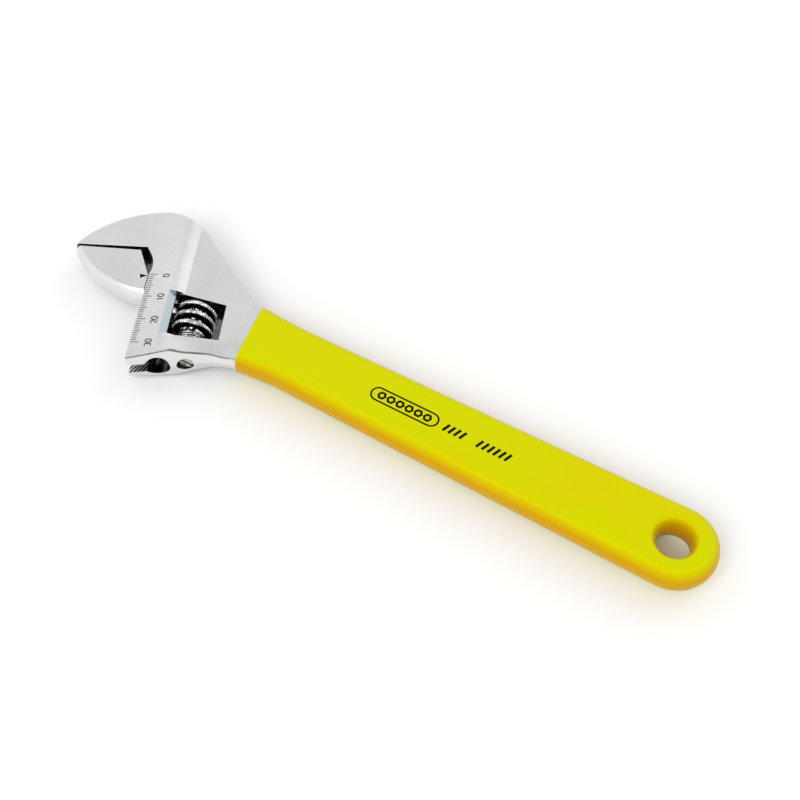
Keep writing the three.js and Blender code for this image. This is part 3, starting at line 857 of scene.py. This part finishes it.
def cutting_tools(s):
    """Everything cut out of the forging: window, bevels, channel, slot and pin bores."""
    left, right = window_sides(s)
    top, bottom = -s.window_top, -s.window_bottom
    mouth = np.array([(left, top), (left, bottom), (right, bottom), (right, top - 3.2)])
    lean = np.array([(0, 0), (0, 0), (1, 0), (1, 0)])
    levels = [np.column_stack([mouth - lean * inward, np.full(4, z)])
              for z, inward in ((-9, 0), (-4.2, 0), (-3.4, 0.35), (0, 1.3),
                                (3.4, 0.35), (4.2, 0), (9, 0))]
    ends = [np.array([[3, 2, 1, 0]]), np.array([[24, 25, 26, 27]])]
    window = closed_object("window",
                           [(np.concatenate(levels), [grid_faces(7, 4, wrap=True), *ends])])
    tools = []
    for side in (1, -1):
        section = np.array([(left, 4.9), (left - 2.3, 6.7), (left - 2.3, 9), (left + 2.3, 9),
                            (left + 2.3, 4.9)]) * (1, side)
        ends = [np.column_stack([section[:, 0], np.full(5, y), section[:, 1]])
                for y in (bottom, top)]
        tools.append(prism("bevel", *ends))
    channel_top = s.face_height - HEEL_OPENING - SLIDE_DROP + SLIDE_PLAY + s.clearance
    slot = WEB_HALF + s.clearance
    front = -15
    tools += [
        round_bar("channel", s.channel_at, s.slide_radius + s.clearance, -WELL_PAST,
                  channel_top, 96),
        plan_prism("slot", [(front, -WELL_PAST), (s.channel_at, -WELL_PAST),
                            (s.channel_at, channel_top), (front, channel_top)], -slot, slot),
        round_bar("pin_bore", s.worm_at, s.pin_radius + s.clearance, bottom - 1, 2.8),
        round_bar("pin_mouth", s.worm_at, 2.5 + s.clearance, -WELL_PAST, bottom + s.clearance),
        round_bar("spring_seat", s.worm_at, s.pin_radius + SEAT_WALL, bottom + 1, top)]
    return combine(window, tools, "UNION")


def body_kinds(s, made):
    """Each face's place in the body's list of materials, from its centre and normal."""
    centres, normals = face_facts(made)
    x, y, z = centres.T
    nx, ny, nz = np.abs(normals).T
    left, right = window_sides(s)
    bottom, top = -s.window_bottom, -s.window_top
    kind = np.full(len(x), SATIN, np.int32)
    # Rims painted darker as shade: dark below the window, half dark along the nape
    rims = (nz > 0.32) & (nz < 0.9)
    kind[rims & (y < bottom)] = SHADED_RIM
    kind[rims & (y > bottom) & (x > 13)] = SHADED_BROW
    jaw_faces = (x < 1.6) & (y > 0.05) & (y < s.face_height + 0.1) & (nz < 0.25)
    kind[jaw_faces & (ny > 0.9) & (normals[:, 1] < 0)] = GROUND
    kind[jaw_faces & (x > -3.4) & (normals[:, 1] < 0.5)
         & (y < s.face_height - 0.1)] = THROAT
    in_window = (x > left - 0.1) & (x < right + 0.1) & (y > bottom - 0.1)
    kind[in_window & (nz < 0.3) & (y < top + 0.1)] = SHADED_CUT
    # The window's right wall gets painted light
    kind[in_window & (x > right - 1.4) & (nx > 0.9) & (nz > 0.15)
         & (np.abs(z) < 3.4)] = LIT_WALL
    wall = ny < 0.3
    channel = s.slide_radius + s.clearance + 0.05
    kind[(np.hypot(x - s.channel_at, z) < channel) & wall & (y < 12)] = SHADED_CUT
    kind[(np.hypot(x - s.worm_at, z) < s.pin_radius + SEAT_WALL + 0.05) & wall] = SHADED_CUT
    slot = (np.abs(np.abs(z) - WEB_HALF - s.clearance) < 0.02) & (x < s.channel_at) & (y < 12)
    kind[slot & (nz > 0.9)] = MILLED
    kind[(nx > 0.4) & (nz > 0.6) & (x > left - 2.4) & (x < left + 0.05)
         & (y > bottom) & (y < top)] = SHADED_BEVEL
    return kind


class WRENCH_OT_body(Operator):
    """Build the forged body: fixed jaw, head, window, channel and tang."""
    bl_idname = "wrench.body"
    bl_label = "Forged body"

    def execute(self, context):
        s, colours = sizes(context), context.scene.wrench_colours
        made = combine(body_plate(s), [cutting_tools(s)], "DIFFERENCE")
        materials = {
            SATIN: satin_chrome(colours), SHADED_CUT: shaded_cut_steel(colours), MILLED: milled_steel(colours),
            SHADED_BEVEL: shaded_bevel_chrome(), SHADED_RIM: shaded_rim_chrome("shaded_rim_chrome", colours, 0.26),
            GROUND: ground_steel("ground_face", colours, 0), LIT_WALL: painted_light_wall(),
            SHADED_BROW: shaded_rim_chrome("shaded_brow_chrome", colours, 0.62),
            THROAT: ground_steel("ground_throat", colours, 1)}
        dressed(made, head_place(), "wrench", materials.values(),
                ["body_forging"], 14, body_kinds(s, made))
        return {"FINISHED"}


def jaw_height(points):
    """Half thickness of the movable jaw: the head's, which is wedge-shaped in front."""
    return upper_half(points[:, 0])


def rack_groove(s, y):
    """A groove of the rack, leaned with the worm's thread where the two meet. A tooth takes
    0.585 of the pitch at the groove's foot, and each flank leans by 0.1475 of the pitch
    over the depth of the thread."""
    foot = s.worm_at - s.worm_crest - s.clearance
    deep = s.channel_at + s.slide_radius + s.clearance - foot
    low = (s.worm_pitch - 0.585 * s.worm_pitch) / 2
    high = low + deep * 0.1475 * s.worm_pitch / (s.worm_crest - s.worm_root)
    lean = math.atan(s.worm_pitch / (math.pi * (s.worm_crest + s.worm_root)))
    x = np.array([foot, foot + deep, foot + deep, foot])
    across = np.array([-low, -high, high, low])
    ends = [np.column_stack([x, across * math.cos(lean) - z * math.sin(lean) + y,
                             across * math.sin(lean) + z * math.cos(lean)])
            for z in (-9.0, 9.0)]
    return prism("groove", *ends)


class WRENCH_OT_jaw(Operator):
    """Build the movable jaw with its web, its round slide and the rack's teeth."""
    bl_idname = "wrench.jaw"
    bl_label = "Movable jaw"

    def execute(self, context):
        s, colours = sizes(context), context.scene.wrench_colours
        face, heel, lip = s.face_height - HEEL_OPENING, 5.4, 8.9
        reach = s.jaw_reach - 0.5
        tip = (-reach - 0.15, face + (reach - heel) * math.tan(math.radians(1.5)))
        flank = bezier((-reach, face), (-0.8 * reach, 0.2), (-0.36 * reach, -0.9 * lip),
                       (0, -lip), 60)
        flank = chain([tip, flank[0]], flank)
        flank = flank[flank[:, 0] <= -s.clearance]
        foot, front = (-s.clearance, flank[-1, 1]), (-s.clearance, 0)
        flank = chain(flank, [flank[-1], foot])
        spans = [
            span(flank, 0.6, bulge=s.jaw_bulge, fillet=0.25, crease=0.93),
            span([foot, front], fillet=0.15), span([front, (-heel, face)], fillet=0.25),
            span([(-heel, face), tip], fillet=0.25)]
        jaw = plate("movable_jaw_form", [spans], jaw_height, 1.0, (), 0.25)
        top, web_low = face - SLIDE_DROP, -7.5
        slide = round_bar("slide", s.channel_at, s.slide_radius, -15.2, top, 64)
        web = plan_prism("web", [(-heel, web_low), (s.channel_at, web_low),
                                 (s.channel_at, top - 0.1), (0, top - 0.1),
                                 (-0.6 * heel, 0.6 * face), (-heel, 0.6 * face)],
                         -WEB_HALF, WEB_HALF)
        first = -(s.window_top + THREAD_TOP + THREAD_START) + s.worm_pitch / 4
        grooves = [rack_groove(s, first + (k - 1) * s.worm_pitch) for k in range(8)]
        slide = combine(slide, grooves, "DIFFERENCE")
        made = combine(jaw, [web, slide], "UNION")
        centres, normals = face_facts(made)
        x, y, z = centres.T
        kind = np.zeros(len(x), np.int32)
        kind[(normals[:, 1] > 0.3) & (np.abs(normals[:, 2]) < 0.3) & (y > 0)] = 1
        kind[(np.abs(z) < WEB_HALF + 0.05) & (np.abs(normals[:, 2]) > 0.9)] = 1
        kind[x > 3] = 2
        materials = [satin_chrome(colours), ground_steel("jaw_face", colours, 0),
                     rack_steel(colours)]
        dressed(made, head_place(), "jaw", materials, ["movable_jaw"], 14, kind)
        made.name = "sliding_jaw"
        return {"FINISHED"}


class WRENCH_OT_worm(Operator):
    """Build the worm: a left-hand thread with knurled crests on a hollow core.

    At angle a the thread's middle stands at y = level - pitch a / 2 pi, and the radius
    across it follows the ridge's section, less the knurl and the ends' chamfers."""
    bl_idname = "wrench.worm"
    bl_label = "Knurled worm"

    def execute(self, context):
        s, colours = sizes(context), context.scene.wrench_colours
        top, low = -(s.window_top + THREAD_TOP), -(s.window_bottom - HUB)
        level = top - THREAD_START
        per_turn, knurls, knurl_depth = 240, 48, 0.16
        turns_before, turns_after = -1, 4
        half = s.worm_pitch / 2
        crest, root = s.worm_crest, s.worm_root
        section = np.array([(0, crest), (0.30, crest), (0.46, crest - 0.05), (0.58, crest - 0.22),
                            (0.66, crest - 0.5), (1.0, root + 0.45), (1.12, root + 0.16),
                            (1.35, root + 0.02), (half, root)])
        section = np.concatenate([section[:0:-1] * (-1, 1), section])
        across, radius = section[:, 0][None, :], section[:, 1][None, :]
        steps = np.arange(turns_before * per_turn, turns_after * per_turn + 1)
        a = steps[:, None] * 2 * np.pi / per_turn
        y = level - s.worm_pitch * a / (2 * np.pi) - across
        on_crest = np.clip((radius - crest + 0.5) / 0.45, 0, 1)
        notch = knurl_depth * (0.5 - 0.5 * np.cos(knurls * a)) * on_crest
        limit = root + np.clip(np.minimum(top - y, y - low), 0, None) * 3.0
        r = np.minimum(radius - notch, limit)
        y = np.clip(y, low, top)
        points = np.stack([s.worm_at + r * np.sin(a), y, r * np.cos(a)], -1).reshape(-1, 3)
        thread = (points, [grid_faces(len(steps), len(section))])
        bottom = s.clearance - s.window_bottom
        bore, seat = s.pin_radius + s.clearance, s.pin_radius + SEAT_WALL
        step, ring, groove = top - 5.3, root + 0.25, root - 0.3
        turning = np.array([
            (root, low), (root - 0.2, low - 0.1), (root - 0.2, low - 0.4), (ring, low - 0.55),
            (ring, low - 0.95), (groove, low - 1.1), (groove, low - 1.3),
            (ring, low - 1.45), (ring, low - 1.85), (groove, low - 2.0),
            (groove, low - 2.2), (ring, low - 2.35), (ring, bottom + 0.15),
            (ring - 0.15, bottom), (bore + 0.2, bottom),
            (bore, bottom + 0.2), (bore, step), (seat, step), (seat, top), (root, top)])
        turn = np.arange(per_turn)[None, :] * 2 * np.pi / per_turn
        tr, ty = turning[:, :1], turning[:, 1:]
        core = np.stack([s.worm_at + tr * np.sin(turn), ty + 0 * turn, tr * np.cos(turn)], -1)
        made = closed_object("knurled_worm", [
            thread, (core.reshape(-1, 3), [grid_faces(len(turning), per_turn, wrap=True)])], 2e-3)
        centre = head_place() @ Vector((s.worm_at, 0, 0))
        materials = [worm_chrome(colours, centre, root * MM, crest * MM), hub_chrome(colours)]
        centres, _ = face_facts(made)
        away = np.hypot(centres[:, 0] - s.worm_at, centres[:, 2])
        hub = ((centres[:, 1] < low - 0.1) & (away > root + 0.1)).astype(np.int32)
        dressed(made, head_place(), "worm", materials, ["worm"], 40, hub)
        return {"FINISHED"}


class WRENCH_OT_pin(Operator):
    """Give the worm's pin and spring, kept from the frame, their turned steel."""
    bl_idname = "wrench.pin"
    bl_label = "Pin and spring"

    def execute(self, context):
        steel = turned_steel()
        for name in ("worm_pin", "worm_spring"):
            mesh = frame["nodes"][name].data
            mesh.materials.clear()
            mesh.materials.append(steel)
        return {"FINISHED"}


def grip_sides(s, inside, past):
    """The grip's outline moved in by inside, from corner to corner of its mouth, and the
    line that closes it there. The mouth stands past further out."""
    line = grip_line(s, inside)
    upper, lower = (mouth_corner(s, side, inside) for side in (1, -1))
    shift = np.array([past, 0])
    line = line[(line[:, 0] > upper[0] + 0.3) | (line[:, 1] < 0)]
    line = line[(line[:, 0] > lower[0] + 0.3) | (line[:, 1] > 0)]
    line = np.concatenate([[upper - shift], line, [lower - shift]])
    return line, [line[-1], line[0]]


def grip_plate(s, name, inside, past, steps, mouth_fillet, half, count, spacing, rim):
    """A plate of the grip's outline, moved in by inside, with its hanging hole."""
    sides, mouth = grip_sides(s, inside, past)
    hole = arc((0, 0), s.hanging_hole + inside, 0, 2 * np.pi, count)
    edge = s.grip_edge - inside
    return plate(name, [
        [span(sides, steps[0], bulge=edge, fillet=0.0), span(mouth, steps[1], fillet=mouth_fillet)],
        [span(hole, steps[2], bulge=0.66 * edge, fillet=0.0)]], level_at(half), spacing, (), rim)


def level_at(half):
    """A height that is the same everywhere."""
    return lambda points: np.full(len(points), half)


class WRENCH_OT_grip(Operator):
    """Build the dipped vinyl grip: a sleeve with elliptical edges and a rolled mouth."""
    bl_idname = "wrench.grip"
    bl_label = "Vinyl grip"

    def execute(self, context):
        s, colours = sizes(context), context.scene.wrench_colours
        half = s.grip_thickness / 2
        outside = grip_plate(s, "vinyl_grip", 0, 0, (0.9, 0.7, 0.5), 0.6, half, 72, 1.5, 0.6)
        pocket = grip_plate(s, "pocket", s.grip_wall, 15, (2.5, 2, 1.5), 0.0,
                            half - s.grip_skin, 48, 4, 0.3)
        made = combine(outside, [pocket], "DIFFERENCE")
        dressed(made, handle_place(), "wrench", [dipped_vinyl(colours)],
                ["grip_sleeve"], 40)
        return {"FINISHED"}


def digit_paths(digit):
    """Pen strokes of a digit in a box one unit high: lines, arcs and an oval."""
    turn = 2 * np.pi
    if digit == "0":
        a = np.linspace(0, turn, 25)[:-1]
        return [(np.stack([0.30 * np.cos(a), 0.5 + 0.5 * np.sin(a)], -1), True)]
    if digit == "1":
        return [(np.array([(-0.22, 0.76), (0.04, 1.0), (0.04, 0.5), (0.04, 0.0)]), False)]
    if digit == "2":
        top = arc((0, 0.72), 0.28, math.radians(165), math.radians(-35), 12)
        return [(chain(top, [top[-1], (-0.3, 0.0), (0.32, 0.0)]), False)]
    upper = arc((-0.02, 0.75), 0.25, math.radians(150), math.radians(-90), 12)
    lower = arc((-0.02, 0.25), 0.27, math.radians(90), math.radians(-150), 12)
    return [(upper, False), (lower, False)]


class WRENCH_OT_scale(Operator):
    """Etch the millimetre scale, its numbers and the jaw's pointer."""
    bl_idname = "wrench.scale"
    bl_label = "Scale and pointer"

    def execute(self, context):
        s, colours = sizes(context), context.scene.wrench_colours
        short, medium, long = 2.0, 2.67, 3.29
        tall, spacing, foot, pen = 2.15, 1.6, 7.6, 0.36
        proud, sunk = 0.02, 0.06

        def height(points):
            return head_half(s, points, NECK)

        parts = []
        for k in range(31):
            end = long if k % 10 == 0 else medium if k % 5 == 0 else short
            path = np.stack([np.linspace(0.25, end, 4), np.full(4, -float(k))], -1)
            parts.append(ribbon(path, s.tick, height, proud=proud, sunk=sunk))
        for text, middle in (("0", -0.7), ("10", -10.5), ("20", -20.5), ("30", -30.2)):
            for place, digit in enumerate(text):
                shift = (place - (len(text) - 1) / 2) * spacing
                for path, closed in digit_paths(digit):
                    drawn = np.stack([foot - path[:, 1] * tall,
                                      middle + shift + path[:, 0] * tall], -1)
                    parts.append(ribbon(drawn, pen, height, closed, proud, sunk))
        etching = closed_object("scale_etching", parts)
        ink = print_ink("etching", colours.etch, 0.45)
        dressed(etching, head_place(), "wrench", [ink])
        wedge = np.array([(-3.1, 0.15), (-2.8, -1.75), (-0.35, -0.65)])
        rows = [np.column_stack([wedge, jaw_height(wedge) + z]) for z in (proud, -sunk)]
        dressed(prism("jaw_pointer", *rows), head_place(), "jaw", [ink])
        return {"FINISHED"}


class WRENCH_OT_label(Operator):
    """Print a plain mark on the grip: hexagons in a long frame, and a row of dashes."""
    bl_idname = "wrench.label"
    bl_label = "Print on the grip"

    def execute(self, context):
        s, colours = sizes(context), context.scene.wrench_colours
        middle = np.array([-94.0, -0.4])
        height = level_at(s.grip_thickness / 2)
        parts = []

        def mark(path, width, closed=False):
            parts.append(ribbon(path + middle, width, height, closed))

        half_long, half_tall = 12.3, 2.5
        straight = half_long - half_tall
        border = chain(arc((straight, 0), half_tall, -np.pi / 2, np.pi / 2, 14),
                       arc((-straight, 0), half_tall, np.pi / 2, 1.5 * np.pi, 14))
        mark(evenly(np.concatenate([border, border[:1]]), 0.5)[:-1], 0.6, True)
        for k in range(6):
            mark(arc((-8.5 + 3.4 * k, 0), 1.2, 0, 2 * np.pi, 7)[:-1], 0.9, True)
        for k in (*range(4), *range(6, 12)):
            start = 15.0 + 2.02 * k
            dash = np.stack([np.linspace(start, start + 1.1, 4), np.linspace(-1.7, 1.3, 4)], -1)
            mark(dash, 0.95)
        made = closed_object("grip_print", parts)
        dressed(made, handle_place(), "wrench", [print_ink("ink", colours.ink, 0.5)])
        return {"FINISHED"}


class WRENCH_OT_stage(Operator):
    """Set the camera, a pale floor and soft studio light."""
    bl_idname = "wrench.stage"
    bl_label = "Camera, floor and light"

    def execute(self, context):
        scene = context.scene
        self.camera(scene, Vector((0.13055, -0.18857, 0.33154)), math.radians(31.9),
                    math.radians(55), math.radians(1), 54.23)
        self.floor(scene, 6.0)
        self.light(scene, "key", Vector((0.55, 1.25, 1.05)), 1.0, 3.0)
        self.light(scene, "fill", Vector((-0.2, -1.5, 1.6)), 1.2, 16.0)
        self.world(scene)
        scene.view_settings.view_transform = "Standard"
        return {"FINISHED"}

    def camera(self, scene, place, turn, pitch, roll, focal):
        """A camera turned from +y, pitched down and rolled, with its focal length."""
        forward = Vector((-math.sin(turn) * math.cos(pitch), math.cos(turn) * math.cos(pitch),
                          -math.sin(pitch)))
        level = Vector((math.cos(turn), math.sin(turn), 0))
        right = level * math.cos(roll) + forward.cross(level) * math.sin(roll)
        lens = bpy.data.cameras.new("camera")
        lens.sensor_width, lens.lens = 36, focal
        scene.camera = bpy.data.objects.new("camera", lens)
        axes = Matrix((right, right.cross(forward), -forward)).transposed()
        scene.camera.matrix_world = Matrix.Translation(place) @ axes.to_4x4()
        scene.collection.objects.link(scene.camera)

    def floor(self, scene, half):
        """A square floor at z = 0, from -half to half."""
        corner = np.array([(-1, -1), (1, -1), (1, 1), (-1, 1)]) * half
        mesh = bpy.data.meshes.new("floor")
        mesh.from_pydata(np.column_stack([corner, np.zeros(4)]).tolist(), [], [(0, 1, 2, 3)])
        mesh.materials.append(studio_floor(scene.wrench_colours.floor))
        floor = bpy.data.objects.new("floor", mesh)
        scene.collection.objects.link(floor)

    def light(self, scene, name, place, width, power):
        """A square light at a place, aimed at the origin."""
        light = bpy.data.lights.new(name, "AREA")
        light.size, light.energy = width, power
        lamp = bpy.data.objects.new(name, light)
        aim = place.to_track_quat("Z", "Y").to_matrix().to_4x4()
        lamp.matrix_world = Matrix.Translation(place) @ aim
        scene.collection.objects.link(lamp)

    def world(self, scene):
        """A white room, greyer overhead."""
        scene.world = bpy.data.worlds.new("studio")
        scene.world.use_nodes = True
        tree = scene.world.node_tree
        tree.nodes.clear()
        out = tree.nodes.new("ShaderNodeOutputWorld")
        aim = add(tree, "SeparateXYZ", {"Vector": add(tree, "TexCoord").outputs["Generated"]})
        glow = blend(tree, ramp(tree, aim.outputs["Z"], 0.45, 0.95, 0, 1),
                     (1.02, 1.02, 1.015, 1), (0.66, 0.665, 0.66, 1))
        sky = add(tree, "Background", {"Color": glow, "Strength": 1.0})
        tree.links.new(sky.outputs["Background"], out.inputs["Surface"])


class WRENCH_PT_panel(Panel):
    """Lists the wrench's sizes, colours and operators."""
    bl_idname = "WRENCH_PT_panel"
    bl_label = "Adjustable Wrench"
    bl_space_type = "VIEW_3D"
    bl_region_type = "UI"
    bl_category = "Wrench"

    def draw(self, context):
        for group in (context.scene.wrench_sizes, context.scene.wrench_colours):
            box = self.layout.box()
            for name in type(group).__annotations__:
                box.prop(group, name)
        for step in STEPS:
            self.layout.operator(step.bl_idname)


STEPS = (WRENCH_OT_body, WRENCH_OT_jaw, WRENCH_OT_worm, WRENCH_OT_pin, WRENCH_OT_grip,
         WRENCH_OT_scale, WRENCH_OT_label, WRENCH_OT_stage)
CLASSES = (WrenchSizes, WrenchColours, *STEPS, WRENCH_PT_panel)


def register():
    """Registers the classes and gives the scene its sizes and colours."""
    for cls in CLASSES:
        bpy.utils.register_class(cls)
    bpy.types.Scene.wrench_sizes = PointerProperty(type=WrenchSizes)
    bpy.types.Scene.wrench_colours = PointerProperty(type=WrenchColours)


def unregister():
    """Removes what register added."""
    del bpy.types.Scene.wrench_colours
    del bpy.types.Scene.wrench_sizes
    for cls in reversed(CLASSES):
        bpy.utils.unregister_class(cls)


def main():
    register()
    for step in STEPS:
        group, name = step.bl_idname.split(".")
        getattr(getattr(bpy.ops, group), name)()


if __name__ == "__main__":
    main()
